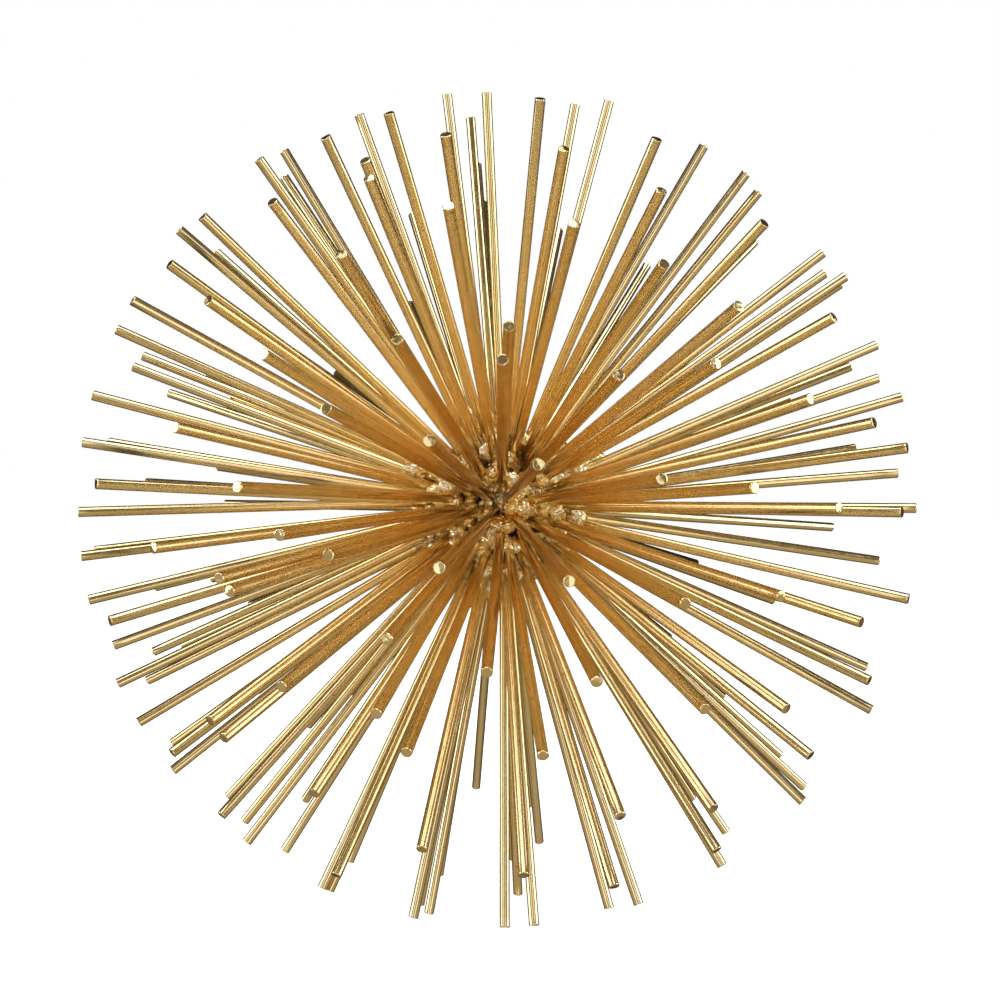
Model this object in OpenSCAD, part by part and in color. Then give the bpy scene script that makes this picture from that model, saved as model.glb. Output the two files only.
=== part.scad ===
// Spiked metal ball: a table ornament of straight round wires, all cut to one length
// and brazed by their inner ends to a small solid core ball.
//
// The origin is on the surface that the ball rests on, under the middle of the core.
// +Z is up, and the front faces -Y. It rests on the tips of three foot spikes.
//
// A spike's place is [clock, lean]. Clock is degrees clockwise from straight up, as seen
// from the front. Lean is degrees away from straight forward: 0 points at the viewer,
// 90 lies across the view and 180 points straight back.

/* [Ball] */
// Diameter over the tips of the spikes
ball_d = 230; // [200:5:300]
// Diameter of the wire that the spikes are cut from
wire_d = 2.7; // [2:0.1:2.7]

/* [Core] */
// Diameter of the solid ball that the spikes are brazed to
core_d = 29; // [29:1:40]
// Least distance between two root centres, as a multiple of the wire's diameter
root_spacing = 1.14; // [1.05:0.01:1.2]

/* [Foot spikes] */
// Angle between each foot spike and straight down
foot_angle = 10.2; // [10.1:0.1:11]
// Clock of the foot spike that slopes forward
front_foot_clock = 179.5; // [178:0.5:181]
// Clock of the foot spike that slopes to the left
left_foot_clock = 190; // [189:0.5:190]
// Clock of the foot spike that slopes back
rear_foot_clock = 177.5; // [175:0.5:178]

/* [Rear fill] */
// Lean past which the spaces between the placed spikes are filled
fill_from_lean = 122; // [116:1:140]
// Least angle between a fill spike and its neighbours
fill_gap = 10; // [8.5:0.5:14]

/* [Braze beads] */
// Places tried for a bead, spread evenly over the core
bead_places = 330; // [200:10:330]
// Radius of the largest bead
bead_max = 1.15; // [0.9:0.05:1.15]
// Radius of the smallest bead worth making
bead_min = 0.5; // [0.4:0.1:0.8]

/* [Hidden] */
$fn = 32;
// Leans at which the front tier and the rim tier end
front_until = 70;
rim_until = 112;
// Degrees of the clock in one sector
sector_angle = 30;
// Leans of the fill places, from the deepest, and the room they leave around the feet
fill_to_lean = 170;
fill_step = 8;
foot_room = 3;
// How the roots are pushed apart: the share of each overlap put right in a pass, and the passes
push_share = 0.45;
push_passes = 60;
// A spike is drawn from this share of the core's radius, and a bead fills this share of its room
root_share = 0.9;
bead_share = 0.9;
ball_r = ball_d / 2;
wire_r = wire_d / 2;
core_r = core_d / 2;
centre = [0, 0, ball_r * cos(foot_angle) + wire_r * sin(foot_angle)];
SECTORS = [1:360 / sector_angle];
TIERS = ["front", "rim", "rear"];
SIDES = ["right", "left", "rear", "front", "top", "bottom"];

// ---- Layout of the spikes ----

// A foot spike's lean, from its clock and from the angle that all three make with down
function foot(clock, back) =
    let (lean = asin(cos(foot_angle) / -cos(clock)))
    [clock, back ? 180 - lean : lean];
FEET = [foot(front_foot_clock, false), foot(left_foot_clock, false), foot(rear_foot_clock, true)];

// Spikes that point towards the front, sector by sector around the clock
FRONT = [
    [5.5, 62], [10, 48], [14.5, 35], [23, 58], [27, 46], [2.5, 20], [0.5, 16],
    [34, 35], [43, 54], [50, 38], [56.5, 30], [42, 19.5], [42, 6],
    [60.5, 53], [71, 41], [77.5, 53], [82, 63], [86, 29.5], [80.5, 18],
    [90.5, 43], [91, 59], [108, 52], [108, 35.5], [103, 68], [115.5, 62], [118, 23.5],
    [125.5, 45.5], [129, 58], [135, 34.5], [145, 50], [148, 61.5], [138, 11],
    [151.5, 22.5], [159, 42], [163.5, 58], [170.5, 29.5], [176.5, 50],
    [185, 18.5], [193, 46], [201, 31], [204, 61],
    [211, 28], [213, 44], [220.5, 19.5], [222, 68], [230, 48], [230.5, 34], [233.5, 48], [233, 64],
    [225, 9.5],
    [252.5, 34], [253.5, 62], [254, 20], [262.5, 25.5], [263, 45.5], [255.5, 35],
    [273, 61], [274, 31], [283.5, 42.5], [299, 22.5],
    [302.5, 33.5], [305, 47], [306, 63], [314, 66], [323, 52.5], [327.5, 36], [328, 22], [312, 10.5],
    [334.5, 62], [338, 46], [338.5, 50], [344, 62], [350, 37], [351.5, 51],
];

// Spikes that lie about across the view, and make the outline
RIM = [
    [10.5, 93], [15, 86], [29.5, 90],
    [36.5, 90], [39.5, 94], [44, 108], [52, 92], [54.5, 97], [56.5, 89], [57, 94],
    [67, 92], [68.5, 105], [71.5, 97], [75, 88], [81, 110], [85.5, 97],
    [90.5, 88], [98.5, 103], [114, 96], [119, 76],
    [132, 105], [133, 88], [134.5, 76], [145.5, 97], [147, 112], [148.5, 76],
    [161, 80], [165, 86], [175.5, 72], [178, 111],
    [191.5, 92], [192, 80], [189.5, 105], [204, 80], [205, 78], [203, 101],
    [212, 92], [213.5, 111], [217, 80], [219, 92], [223, 96],
    [231, 80], [234, 93], [239, 79],
    [243.5, 98], [245, 78], [247, 104.5], [250, 90], [256.5, 111], [257, 78],
    [263, 80], [263.5, 92], [269, 80],
    [273.5, 111], [278.5, 77], [279, 97], [285, 78], [288.5, 112.5],
    [290.5, 99], [292.5, 101], [294.5, 80], [299, 72],
    [310.5, 78], [311.5, 103.5], [325, 72], [326.5, 99], [328.5, 88],
    [340, 88], [352.5, 89], [355.5, 101], [358, 90],
];

// Spikes that point back and show between the others
REAR = [
    [12, 129],
    [31.5, 129],
    [69.5, 123],
    [94, 117], [107, 144], [109.5, 127],
    [128.5, 142], [131, 126],
    [173.5, 115], [162, 143], [164, 119], [174.5, 124],
    [185, 128], [203, 120],
    [221, 126], [223, 122], [218.5, 137], [232.5, 123],
    [244.5, 114], [246, 113], [248, 131], [255.5, 125],
    [277.5, 128], [284.5, 122], [283, 138], [294, 120], [292, 127], [290, 127], [270, 130],
    [308.5, 143], [327, 118],
    [343, 124], [335.5, 141], [356, 115], [356.5, 124],
];

// Unit vector along a spike, outward
function dir(s) = [sin(s.y) * sin(s.x), -cos(s.y), sin(s.y) * cos(s.x)];

// Clock and lean of a unit vector
function place(v) = [(atan2(v.x, v.z) + 360) % 360, acos(-v.y)];

PLACED = concat(FEET, FRONT, RIM, REAR);

// A fill spike stands right behind a placed spike that hides it from the front, so the
// open wedges between the spikes stay open. The deepest places are filled first.
FILL_PLACES = [
    for (lean = [fill_to_lean:-fill_step:fill_from_lean])
        for (s = concat(FRONT, RIM))
            if (s.y > 180 - lean) [s.x, lean]
];
function room_for(v, others) =
    max([for (o = others) v * o]) < cos(fill_gap) && v.z > -cos(foot_angle + foot_room);
function filled(dirs, i = 0) =
    i == len(FILL_PLACES) ? dirs
    : let (v = dir(FILL_PLACES[i])) filled(room_for(v, dirs) ? concat(dirs, [v]) : dirs, i + 1);

TIPS = filled([for (s = PLACED) dir(s)]);
SPIKES = [for (v = TIPS) place(v)];
COUNT = len(TIPS);

// A root starts under its own tip, and roots that are too close push each other apart
// along the core until the wire has room
function unit(v) = v / norm(v);
function sum(vs) = [for (v = vs) 1] * vs;
function pushed(vs, gap) = [
    for (a = vs)
        let (pushes = [for (b = vs) let (d = norm(a - b)) if (d > 0 && d < gap) (a - b) * (gap / d - 1)])
        len(pushes) == 0 ? a : unit(a + sum(pushes) * push_share)
];
function spread(vs, gap, passes) = passes == 0 ? vs : spread(pushed(vs, gap), gap, passes - 1);
ROOTS = spread(TIPS, root_spacing * wire_d / core_r, push_passes);

// ---- Beads of braze in the spaces between the roots ----

// Unit vector number i of n spread evenly over a ball, along a golden spiral
function even(i, n) =
    let (y = 1 - (2 * i + 1) / n, turn = i * 180 * (3 - sqrt(5)), r = sqrt(1 - y * y))
    [r * cos(turn), y, r * sin(turn)];

function clearance(v) = core_r * min([for (r = ROOTS) norm(v - r)]) - wire_r;
BEADS = [
    for (i = [0:bead_places - 1])
        let (v = even(i, bead_places), room = clearance(v))
        if (room > bead_min) [v, min(bead_share * room, bead_max)]
];

// The side of the core that a unit vector is on: 0 to 5, in the order of SIDES
function side(v) =
    let (size = [abs(v.x), abs(v.y), abs(v.z)])
    max(size) == size.x ? (v.x > 0 ? 0 : 1) : max(size) == size.y ? (v.y > 0 ? 2 : 3) : (v.z > 0 ? 4 : 5);

// ---- Sub-parts ----

module core_shape() sphere(core_r, $fn = 180);

// Turns +Z to point along v
module aim(v) rotate([0, acos(v.z / norm(v)), atan2(v.y, v.x)]) children();

module core_ball() {
    color("darkgoldenrod") translate(centre) core_shape();
}

// A straight wire with a square-cut tip, and a root coped to sit on the core
module spike(i) {
    inside = root_share * core_r * ROOTS[i];
    tip = ball_r * TIPS[i];
    v = tip - inside;
    difference() {
        translate(inside) aim(v) cylinder(h = norm(v), r = wire_r);
        core_shape();
    }
}

// The spikes of one tier and one 30 degree sector of the clock
function tier(s) = s.y < front_until ? "front" : s.y < rim_until ? "rim" : "rear";
function sector_of(s) = floor(s.x / sector_angle) + 1;
module spikes(name, sector) {
    color("goldenrod") translate(centre)
        for (i = [0:COUNT - 1])
            if (tier(SPIKES[i]) == name && sector_of(SPIKES[i]) == sector) spike(i);
}

// Domes of braze on the core, each sized to the space between the roots around it
module braze_beads(n) {
    color("gold") translate(centre)
        for (bead = BEADS)
            if (side(bead[0]) == n)
                aim(bead[0]) difference() {
                    translate([0, 0, core_r]) sphere(bead[1], $fn = 48);
                    core_shape();
                }
}

core_ball();
for (n = [0:5])
    braze_beads(n);
for (name = TIERS) for (s = SECTORS)
    spikes(name, s);
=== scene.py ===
"""Spiked metal ball in gold: the looks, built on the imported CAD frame.

Everything is in metres in the row frame. Each group of CAD spikes is replaced by wires with the
same tips and roots, but with dressed ends, a slight bow and a worked surface. The CAD's domes of
braze are replaced by the rough lumps that hold the roots. The core ball stays, with a new finish.
"""

import math
import random

import bmesh
import bpy
import numpy as np
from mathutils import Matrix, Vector, noise


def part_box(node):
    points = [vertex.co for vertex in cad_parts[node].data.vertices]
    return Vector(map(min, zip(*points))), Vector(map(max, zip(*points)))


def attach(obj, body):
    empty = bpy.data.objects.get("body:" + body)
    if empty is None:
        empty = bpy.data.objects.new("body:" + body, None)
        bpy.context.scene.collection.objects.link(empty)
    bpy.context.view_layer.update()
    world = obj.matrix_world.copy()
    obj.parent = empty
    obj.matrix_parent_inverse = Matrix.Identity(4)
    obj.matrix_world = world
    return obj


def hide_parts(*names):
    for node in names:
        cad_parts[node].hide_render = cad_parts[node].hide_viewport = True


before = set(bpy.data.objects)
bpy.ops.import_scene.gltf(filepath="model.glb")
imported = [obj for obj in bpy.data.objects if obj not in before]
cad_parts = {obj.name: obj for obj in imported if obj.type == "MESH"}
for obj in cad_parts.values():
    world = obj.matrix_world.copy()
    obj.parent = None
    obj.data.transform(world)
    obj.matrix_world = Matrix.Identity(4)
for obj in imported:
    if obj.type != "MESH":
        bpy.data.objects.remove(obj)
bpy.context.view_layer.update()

MM = 0.001
SEED = 11
core_low, core_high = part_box("core_ball")
CENTRE = (core_low + core_high) / 2
CORE_R = (core_high.x - core_low.x) / 2
SPIKE_NODES = sorted(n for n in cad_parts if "_spikes_" in n)
BEAD_NODES = sorted(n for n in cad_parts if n.startswith("braze_beads_"))
rng = random.Random(SEED)


# ---- Spikes, measured from the CAD nodes ----

def solids(node):
    """The points of each separate solid in a CAD node, as one array a solid."""
    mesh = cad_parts[node].data
    places = np.array([v.co for v in mesh.vertices])
    _, same = np.unique(np.round(places / (0.001 * MM)).astype(int), axis=0, return_inverse=True)
    same = same.ravel()
    leader = list(range(same.max() + 1))

    def root(i):
        while leader[i] != i:
            leader[i] = leader[leader[i]]
            i = leader[i]
        return i

    for face in mesh.polygons:
        first = root(same[face.vertices[0]])
        for v in face.vertices[1:]:
            leader[root(same[v])] = first
    found = {}
    for i, place in zip(same, places):
        found.setdefault(root(i), {})[i] = place
    return [np.array(list(points.values())) for _, points in sorted(found.items())]


def wire_of(points):
    """(root, tip, radius) of one CAD spike: the middles of its two ends, and the wire's radius."""
    far = np.linalg.norm(points - np.array(CENTRE), axis=1)
    cut = (far.max() + far.min()) / 2
    root, tip = points[far < cut].mean(0), points[far > cut].mean(0)
    return Vector(root), Vector(tip), np.linalg.norm(points[far > cut] - tip, axis=1).max()


WIRES = {node: [wire_of(points) for points in solids(node)] for node in SPIKE_NODES}
ALL_WIRES = [wire for node in SPIKE_NODES for wire in WIRES[node]]
WIRE_R = float(np.median([radius for _, _, radius in ALL_WIRES]))


# ---- Mesh of the wires ----

SIDES = 24
BEVEL = 0.13 * MM
# How far a wire reaches inside the core, and how much of its tip the shears pull out of square
INSIDE = 2.0 * MM
SHEARED = 2.0 * MM
# Shares of the length at which a wire has a ring of points, up to where its tip begins
RING_SHARES = (0.0, 0.03, 0.06, 0.1, 0.15, 0.22, 0.3, 0.4, 0.5, 0.6, 0.7, 0.8, 0.9, 0.96)
MOST_BOW = 0.22 * MM
MOST_SLANT = 0.05
MOST_RIDGE = 0.15
MOST_BURR = 0.05 * MM


def add_wire(wire, verts, faces, place, along, tone, end):
    """Adds one wire to the lists. place is a point in the wire's own frame, for its surface."""
    root, tip, _ = wire
    axis = (tip - root).normalized()
    across = axis.orthogonal().normalized()
    up = axis.cross(across)
    length = (tip - root).length
    bow = rng.uniform(0.0, MOST_BOW)
    bow_turn = rng.uniform(0, 2 * math.pi)
    bow_way = across * math.cos(bow_turn) + up * math.sin(bow_turn)
    slant = rng.uniform(0.0, MOST_SLANT)
    slant_turn = rng.uniform(0, 2 * math.pi)
    ridge = rng.uniform(0.0, MOST_RIDGE)
    ridge_turn = rng.uniform(0, math.pi)
    shift = Vector((rng.uniform(-1, 1), rng.uniform(-1, 1), rng.uniform(-1, 1)))
    this_tone = rng.random()
    burr = rng.uniform(0.0, MOST_BURR)
    stations = [(-INSIDE, WIRE_R)]
    stations += [(length * share, WIRE_R) for share in RING_SHARES]
    stations += [
        (length - 3 * BEVEL, WIRE_R),
        (length - 1.2 * BEVEL, WIRE_R + burr),
        (length - 0.6 * BEVEL, WIRE_R - 0.12 * BEVEL),
        (length - 0.2 * BEVEL, WIRE_R - 0.5 * BEVEL),
        (length - 0.02 * BEVEL, WIRE_R - 1.1 * BEVEL),
        (length, WIRE_R - 2.0 * BEVEL),
        (length - 0.25 * BEVEL, WIRE_R * 0.35),
    ]
    first = len(verts)
    for at, radius in stations:
        share = min(max(at / length, 0), 1)
        middle = root + axis * at + bow_way * (bow * math.sin(math.pi * share))
        for k in range(SIDES):
            turn = 2 * math.pi * k / SIDES
            slope = slant * (1 + math.cos(turn - slant_turn)) + ridge * abs(math.cos(turn - ridge_turn))
            cut = -max(0.0, 1 - (length - at) / SHEARED) * slope * radius
            verts.append(middle + (across * math.cos(turn) + up * math.sin(turn)) * radius + axis * cut)
            place.append(Vector((radius * math.cos(turn), radius * math.sin(turn), at)) + shift)
            along.append(at)
            tone.append(this_tone)
            end.append(1.0 if length - at < 0.3 * BEVEL else 0.0)
    rings = len(stations)
    for ring in range(rings - 1):
        a, b = first + ring * SIDES, first + (ring + 1) * SIDES
        for k in range(SIDES):
            m = (k + 1) % SIDES
            faces.append((a + k, a + m, b + m, b + k))
    last = first + (rings - 1) * SIDES
    verts.append(root + axis * (length - 0.3 * BEVEL - slant * WIRE_R))
    place.append(Vector((0, 0, length)) + shift)
    along.append(length)
    tone.append(this_tone)
    end.append(1.0)
    for k in range(SIDES):
        faces.append((last + k, last + (k + 1) % SIDES, len(verts) - 1))


def set_values(mesh, name, values, kind="FLOAT"):
    attribute = mesh.attributes.new(name, kind, "POINT")
    field = "vector" if kind == "FLOAT_VECTOR" else "value"
    attribute.data.foreach_set(field, np.array(values, np.float32).ravel())


def new_piece(name, mesh, material, nodes):
    """A piece that rides with the one body and stands for these CAD nodes."""
    mesh.materials.append(material)
    mesh.polygons.foreach_set("use_smooth", [True] * len(mesh.polygons))
    piece = bpy.data.objects.new(name, mesh)
    bpy.context.scene.collection.objects.link(piece)
    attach(piece, "root")
    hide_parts(*nodes)
    return piece


def wires_piece(node, material):
    verts, faces, place, along, tone, end = [], [], [], [], [], []
    for wire in WIRES[node]:
        add_wire(wire, verts, faces, place, along, tone, end)
    mesh = bpy.data.meshes.new(node + "_wires")
    mesh.from_pydata(verts, [], faces)
    set_values(mesh, "wire_place", [tuple(p) for p in place], "FLOAT_VECTOR")
    set_values(mesh, "along", along)
    set_values(mesh, "tone", tone)
    set_values(mesh, "end", end)
    return new_piece(node + "_wires", mesh, material, [node])


# ---- Lumps of braze ----

def unit_lump():
    """The points and faces of a small round lump of radius 1."""
    bm = bmesh.new()
    bmesh.ops.create_icosphere(bm, subdivisions=2, radius=1)
    points = np.array([v.co for v in bm.verts])
    faces = np.array([[v.index for v in f.verts] for f in bm.faces])
    bm.free()
    return points, faces


LUMP_POINTS, LUMP_FACES = unit_lump()


def add_lump(lumps, place, size, stretch_way, stretch):
    turn = np.array(Vector(stretch_way).to_track_quat("Z", "Y").to_matrix())
    lumps.append(LUMP_POINTS * (size, size, size * stretch) @ turn.T + np.array(place))


def random_way():
    z, turn = rng.uniform(-1, 1), rng.uniform(0, 2 * math.pi)
    r = math.sqrt(1 - z * z)
    return Vector((r * math.cos(turn), r * math.sin(turn), z))


def braze_piece(material):
    lumps = []
    for root, tip, _ in ALL_WIRES:
        axis = (tip - root).normalized()
        for _ in range(3):
            out = abs(rng.gauss(0.0, 4.4)) * MM
            side = axis.cross(random_way()).normalized()
            size = rng.uniform(1.2, 2.3) * MM
            place = root + axis * out + side * rng.uniform(0.9, 1.8) * MM
            add_lump(lumps, place, size, axis, rng.uniform(0.9, 1.7))
    # Longer runs of braze that bridge two neighbouring wires, further out
    for i, (root, tip, _) in enumerate(ALL_WIRES):
        axis = (tip - root).normalized()
        for other_root, other_tip, _ in ALL_WIRES[i + 1:]:
            other = (other_tip - other_root).normalized()
            out = rng.uniform(1.5, 12.5) * MM
            a, b = root + axis * out, other_root + other * out
            gap = (a - b).length
            if gap < 6.6 * MM and rng.random() < 0.5:
                size = max(0.5 * gap - 0.3 * MM, 1.6 * MM)
                add_lump(lumps, (a + b) / 2, size, axis, rng.uniform(1.0, 2.1))
    mesh = bpy.data.meshes.new("braze_rough")
    steps = np.arange(len(lumps))[:, None, None] * len(LUMP_POINTS)
    mesh.from_pydata(np.concatenate(lumps), [], (LUMP_FACES[None] + steps).reshape(-1, 3))
    rough = bpy.data.objects.new("braze_rough", mesh)
    bpy.context.scene.collection.objects.link(rough)
    remesh = rough.modifiers.new("remesh", "REMESH")
    remesh.mode = "VOXEL"
    remesh.voxel_size = 0.3 * MM
    smooth = rough.modifiers.new("smooth", "SMOOTH")
    smooth.factor = 0.5
    smooth.iterations = 2
    ready = rough.evaluated_get(bpy.context.evaluated_depsgraph_get())
    mesh = bpy.data.meshes.new_from_object(ready)
    bpy.data.objects.remove(rough)
    mesh.name = "braze_lumps"
    # The skin is roughened, and the hollows near the core are darkened: partly soot, partly painted shade
    # in the hollows
    soot_and_shade, moved = [], []
    places, normals = (np.empty(len(mesh.vertices) * 3, np.float32) for _ in range(2))
    mesh.vertices.foreach_get("co", places)
    mesh.vertices.foreach_get("normal", normals)
    for place, normal in zip(places.reshape(-1, 3), normals.reshape(-1, 3)):
        p = Vector(place) / MM
        push = 0.35 * noise.noise(p * 0.55)
        push += 0.28 * noise.noise(p * 1.3 + Vector((9, 2, 5)))
        push += 0.1 * noise.noise(p * 3.1)
        depth = ((Vector(place) - CENTRE).length - CORE_R) / MM
        # Darker close to the core surface, broken up by noise: soot, and painted shade in the hollows
        soot_and_shade.append(min(max(0.1 - depth / 3.0 + 1.6 * noise.noise(p * 0.45 + Vector((3, 3, 3))), 0), 1))
        moved.append(place + normal * push * MM)
    mesh.vertices.foreach_set("co", np.array(moved, np.float32).ravel())
    mesh.update()
    set_values(mesh, "soot_and_shade", soot_and_shade)
    return new_piece("braze_lumps", mesh, material, BEAD_NODES)


# ---- Materials ----

class Tree:
    """Short calls for building a material's nodes."""

    def __init__(self, name):
        self.material = bpy.data.materials.new(name)
        self.material.use_nodes = True
        self.nodes = self.material.node_tree.nodes
        self.links = self.material.node_tree.links
        self.shader = self.nodes["Principled BSDF"]

    def add(self, kind, settings=None, **inputs):
        """A new node. An input is given by its name, or by its number as i0, i1 and so on."""
        node = self.nodes.new(kind)
        for key, value in (settings or {}).items():
            setattr(node, key, value)
        for key, value in inputs.items():
            numbered = key.startswith("i") and key[1:].isdigit()
            self.put(node.inputs[int(key[1:]) if numbered else key.replace("_", " ")], value)
        return node

    def put(self, socket, value):
        if isinstance(value, bpy.types.NodeSocket):
            self.links.new(value, socket)
        else:
            socket.default_value = value

    def math(self, operation, a, b=0.0, clamp=False):
        node = self.add("ShaderNodeMath", {"operation": operation, "use_clamp": clamp}, i0=a, i1=b)
        return node.outputs[0]

    def mix(self, share, a, b):
        node = self.add("ShaderNodeMix", {"data_type": "RGBA"})
        self.put(node.inputs["Factor"], share)
        self.put(node.inputs[6], a)
        self.put(node.inputs[7], b)
        return node.outputs[2]

    def noise(self, place, scale, detail=2.0, roughness=0.5):
        looks = {"Scale": scale, "Detail": detail, "Roughness": roughness}
        node = self.add("ShaderNodeTexNoise", None, Vector=place, **looks)
        return node.outputs[0]

    def cells(self, place, scale, randomness=1.0):
        node = self.add("ShaderNodeTexVoronoi", None, Vector=place, Scale=scale, Randomness=randomness)
        return node.outputs["Distance"], node.outputs["Color"]

    def range(self, value, low, high, to_low=0.0, to_high=1.0):
        node = self.add("ShaderNodeMapRange", {"clamp": True}, Value=value)
        for i, x in enumerate((low, high, to_low, to_high)):
            node.inputs[i + 1].default_value = x
        return node.outputs[0]

    def read(self, name, vector=False):
        node = self.add("ShaderNodeAttribute", {"attribute_type": "GEOMETRY", "attribute_name": name})
        return node.outputs["Vector" if vector else "Fac"]

    def stretch(self, place, scale):
        return self.add("ShaderNodeMapping", None, Vector=place, Scale=scale).outputs[0]

    def bump(self, height, distance, strength, normal=None):
        node = self.add("ShaderNodeBump", None, Height=height, Distance=distance, Strength=strength)
        if normal is not None:
            self.put(node.inputs["Normal"], normal)
        return node.outputs[0]


GOLD = (0.91, 0.70, 0.34, 1)
PALE_GOLD = (0.95, 0.79, 0.47, 1)
DEEP_GOLD = (0.85, 0.62, 0.26, 1)
EDGE_TINT = (0.76, 0.61, 0.38, 1)
OXIDE = (0.075, 0.045, 0.02, 1)
SILVER = (0.93, 0.90, 0.77, 1)


def gold_wire():
    t = Tree("gold_wire")
    place = t.read("wire_place", vector=True)
    along, tone, end = t.read("along"), t.read("tone"), t.read("end")
    cloud = t.noise(place, 160.0, 3.0)
    drawn = t.noise(t.stretch(place, (2600.0, 2600.0, 55.0)), 1.0, 2.0)
    grain = t.noise(place, 2600.0, 2.0)
    colour = t.mix(t.range(cloud, 0.35, 0.7), DEEP_GOLD, GOLD)
    colour = t.mix(t.range(tone, 0.2, 1.0, 0.0, 0.45), colour, PALE_GOLD)
    # Pits where the coat has lifted, and grains of grit caught in it
    near_pit, pit_pick = t.cells(place, 620.0)
    pit_on = t.math("GREATER_THAN", pit_pick, 0.86)
    pit = t.math("MULTIPLY", t.range(near_pit, 0.10, 0.22, 1.0, 0.0), pit_on)
    near_grit, grit_pick = t.cells(place, 1150.0)
    grit_on = t.math("GREATER_THAN", grit_pick, t.range(tone, 0.6, 0.95, 0.93, 0.6))
    grit = t.math("MULTIPLY", t.range(near_grit, 0.14, 0.32, 1.0, 0.0), grit_on)
    colour = t.mix(t.math("MULTIPLY", pit, 0.75), colour, OXIDE)
    colour = t.mix(t.math("MULTIPLY", grit, 0.6), colour, PALE_GOLD)
    # Heat stain and soot near the root, and painted dark reflections streaked along some wires
    near_root = t.range(along, 2 * MM, 17 * MM, 1.0, 0.0)
    heat = t.math("MULTIPLY", near_root, t.range(t.noise(place, 420.0, 3.0), 0.45, 0.62))
    # Painted dark reflection: dark streaks stretched along the length of some wires
    painted_dark_reflection = t.range(t.noise(t.stretch(place, (350.0, 350.0, 28.0)), 1.0, 2.0), 0.66, 0.76, 0.0, 0.8)
    colour = t.mix(t.math("MAXIMUM", heat, painted_dark_reflection), colour, OXIDE)
    t.put(t.shader.inputs["Base Color"], colour)
    t.put(t.shader.inputs["Specular Tint"], EDGE_TINT)
    rough = t.range(t.noise(place, 520.0, 3.0), 0.3, 0.7, 0.12, 0.22)
    rough = t.math("ADD", rough, t.math("MULTIPLY", heat, 0.35))
    rough = t.math("ADD", rough, t.math("MULTIPLY", pit, 0.25))
    t.put(t.shader.inputs["Roughness"], rough)
    t.put(t.shader.inputs["Metallic"], 1.0)
    t.put(t.shader.inputs["Coat Weight"], 0.6)
    t.put(t.shader.inputs["Coat Roughness"], 0.1)
    height = t.math("SUBTRACT", grit, t.math("MULTIPLY", pit, 1.4))
    normal = t.bump(height, 0.05 * MM, 0.2)
    normal = t.bump(drawn, 0.02 * MM, 0.03, normal)
    normal = t.bump(grain, 0.02 * MM, 0.012, normal)
    # Marks of the shears across the cut end
    shear = t.noise(t.stretch(place, (2600.0, 500.0, 0.0)), 1.0, 2.0)
    normal = t.bump(t.math("MULTIPLY", shear, end), 0.1 * MM, 0.5, normal)
    t.put(t.shader.inputs["Normal"], normal)
    return t.material


def braze_metal(name, soot_and_shade_value=None):
    """Rough bright braze. The soot and painted shade of the hollows is read from the mesh, or is this
    value all over.
    """
    t = Tree(name)
    place = t.add("ShaderNodeTexCoord").outputs["Object"]
    soot_and_shade = t.read("soot_and_shade") if soot_and_shade_value is None else soot_and_shade_value
    silver = t.range(t.noise(place, 240.0, 2.0), 0.42, 0.58)
    colour = t.mix(silver, GOLD, SILVER)
    colour = t.mix(t.range(t.noise(place, 900.0, 3.0), 0.35, 0.7), t.mix(0.4, colour, DEEP_GOLD), colour)
    spots = t.range(t.noise(place, 1300.0, 2.0), 0.6, 0.68)
    # Dark spots, and the soot and painted shade of the hollows, pull the colour towards oxide
    dark = t.math("MAXIMUM", t.math("MULTIPLY", spots, 0.7), soot_and_shade, clamp=True)
    colour = t.mix(dark, colour, OXIDE)
    t.put(t.shader.inputs["Base Color"], colour)
    rough = t.range(t.noise(place, 700.0, 3.0), 0.3, 0.7, 0.10, 0.28)
    rough = t.math("ADD", rough, t.math("MULTIPLY", dark, 0.35))
    t.put(t.shader.inputs["Roughness"], rough)
    t.put(t.shader.inputs["Metallic"], 1.0)
    normal = t.bump(t.noise(place, 1500.0, 3.0, 0.6), 0.12 * MM, 0.8)
    t.put(t.shader.inputs["Normal"], normal)
    return t.material


wire_finish = gold_wire()
for node in SPIKE_NODES:
    wires_piece(node, wire_finish)
braze_piece(braze_metal("braze_lump_metal"))
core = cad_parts["core_ball"]
core.data.materials.clear()
# The core, deepest in the hollows, is darkened all over: soot and painted shade
core.data.materials.append(braze_metal("braze_core_metal", 0.6))


# ---- Studio ----

def glowing_floor():
    """White acrylic, lit from below like a light table; the glow is a little less under the ball, a
    painted shade.
    """
    t = Tree("floor_acrylic")
    place = t.add("ShaderNodeTexCoord").outputs["Object"]
    away = t.add("ShaderNodeVectorMath", {"operation": "LENGTH"}, i0=place).outputs["Value"]
    cloudy = t.mix(t.noise(place, 3.0), (0.93, 0.93, 0.92, 1), (0.91, 0.91, 0.91, 1))
    t.put(t.shader.inputs["Base Color"], cloudy)
    t.put(t.shader.inputs["Roughness"], 0.9)
    t.put(t.shader.inputs["Emission Color"], (1, 1, 1, 1))
    # Painted shade: the glow is weaker within 0.35 m of the middle, under the ball
    t.put(t.shader.inputs["Emission Strength"], t.range(away, 0.05, 0.35, 0.82, 1.02))
    return t.material


floor_mesh = bpy.data.meshes.new("floor")
FLOOR_REACH = 8.0
corners = [(x * FLOOR_REACH, y * FLOOR_REACH, 0) for x, y in ((-1, -1), (1, -1), (1, 1), (-1, 1))]
floor_mesh.from_pydata(corners, [], [(0, 1, 2, 3)])
floor_mesh.materials.append(glowing_floor())
floor = bpy.data.objects.new("floor", floor_mesh)
bpy.context.scene.collection.objects.link(floor)
floor.visible_glossy = False
floor.visible_diffuse = False


LIGHT_COLOUR = (0.97, 1.0, 1.1)


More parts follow.
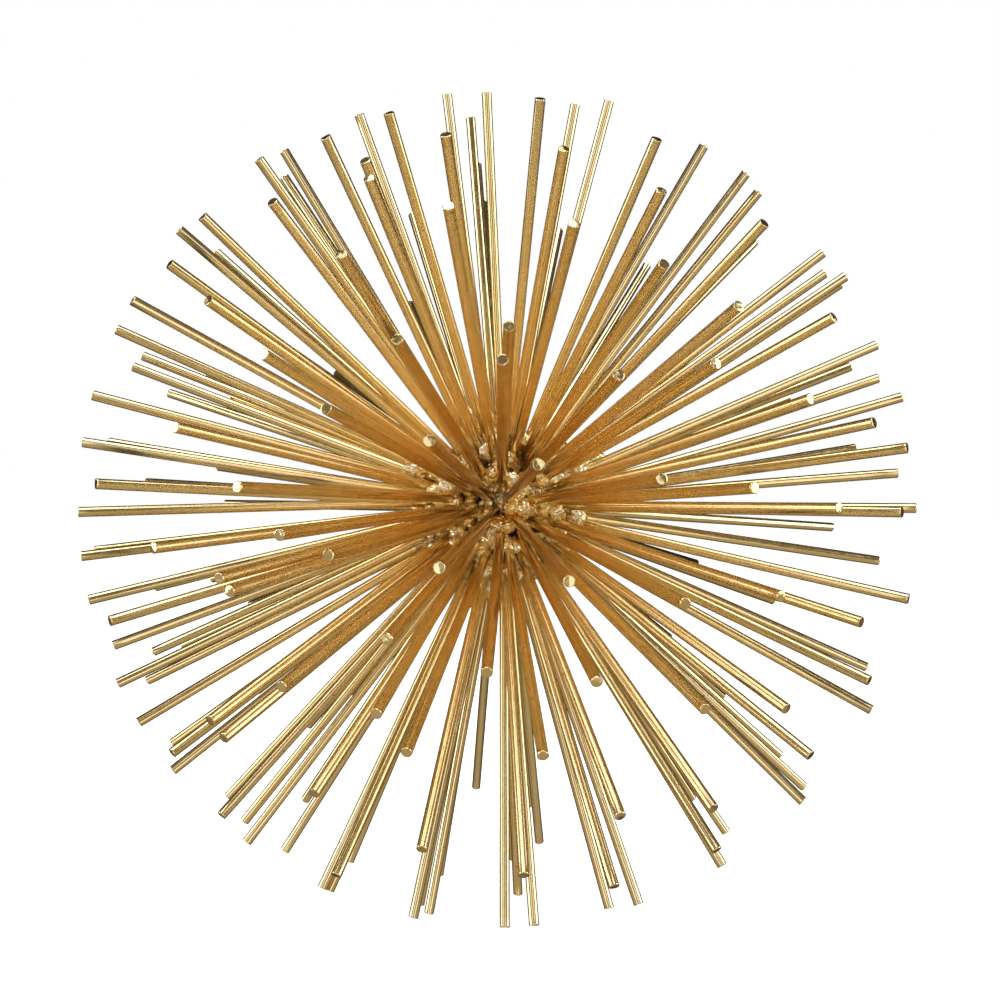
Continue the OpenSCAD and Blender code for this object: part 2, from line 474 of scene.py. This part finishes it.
def softbox(name, place, size, radiance):
    """A square light of this radiance that faces the ball."""
    data = bpy.data.lights.new(name, "AREA")
    data.shape = "RECTANGLE"
    data.size, data.size_y = size
    data.energy = radiance * math.pi * size[0] * size[1]
    data.color = LIGHT_COLOUR
    light = bpy.data.objects.new(name, data)
    bpy.context.scene.collection.objects.link(light)
    light.location = place
    light.rotation_euler = (CENTRE - Vector(place)).to_track_quat("-Z", "Y").to_euler()
    light.visible_camera = False
    return light


def at(azimuth, elevation, distance):
    """A place seen from the ball. Azimuth 0 is towards the camera, and 90 is to the right."""
    a, e = math.radians(azimuth), math.radians(elevation)
    return CENTRE + Vector((math.sin(a) * math.cos(e), -math.cos(a) * math.cos(e), math.sin(e))) * distance


softbox("softbox_top", at(-10, 76, 1.2), (1.1, 0.9), 3.0)
softbox("softbox_left", at(-80, 14, 1.3), (1.0, 1.0), 2.8)
softbox("softbox_right", at(80, 14, 1.3), (1.0, 1.0), 2.8)
softbox("softbox_front_left", at(-22, 0, 1.3), (0.55, 1.5), 1.05)
softbox("softbox_front_right", at(22, 0, 1.3), (0.55, 1.5), 1.05)

world = bpy.data.worlds.new("studio")
bpy.context.scene.world = world
world.use_nodes = True
nodes, links = world.node_tree.nodes, world.node_tree.links
nodes.clear()
out = nodes.new("ShaderNodeOutputWorld")
mix = nodes.new("ShaderNodeMixShader")
path = nodes.new("ShaderNodeLightPath")
seen = nodes.new("ShaderNodeBackground")
seen.inputs["Color"].default_value = (1, 1, 1, 1)
seen.inputs["Strength"].default_value = 1.0
lit = nodes.new("ShaderNodeBackground")
lit.inputs["Color"].default_value = (1.0, 0.88, 0.66, 1)
way = nodes.new("ShaderNodeSeparateXYZ")
links.new(nodes.new("ShaderNodeTexCoord").outputs["Generated"], way.inputs[0])
shades = []
for axis, values in (("Z", (-0.25, 0.05, 0.42, 0.16)), ("Y", (-0.1, 0.5, 1.0, 0.28))):
    shade = nodes.new("ShaderNodeMapRange")
    for i, value in enumerate(values):
        shade.inputs[i + 1].default_value = value
    links.new(way.outputs[axis], shade.inputs[0])
    shades.append(shade.outputs[0])
both = nodes.new("ShaderNodeMath")
both.operation = "MULTIPLY"
for i, shade in enumerate(shades):
    links.new(shade, both.inputs[i])
links.new(both.outputs[0], lit.inputs["Strength"])
links.new(path.outputs["Is Camera Ray"], mix.inputs[0])
links.new(lit.outputs[0], mix.inputs[1])
links.new(seen.outputs[0], mix.inputs[2])
links.new(mix.outputs[0], out.inputs["Surface"])

# The camera looks level at the ball from the front, from 4.3 radii away
camera_data = bpy.data.cameras.new("camera")
camera_data.sensor_width = 36
camera_data.lens = 63.8
camera_data.clip_start = 0.02
camera = bpy.data.objects.new("camera", camera_data)
bpy.context.scene.collection.objects.link(camera)
camera.location = CENTRE + Vector((-0.28 * MM, -494.5 * MM, 1.25 * MM))
camera.rotation_euler = (math.pi / 2, 0, 0)
bpy.context.scene.camera = camera

scene = bpy.context.scene
scene.view_settings.view_transform = "Standard"
scene.view_settings.look = "None"
scene.cycles.glossy_bounces = 8
scene.cycles.max_bounces = 12
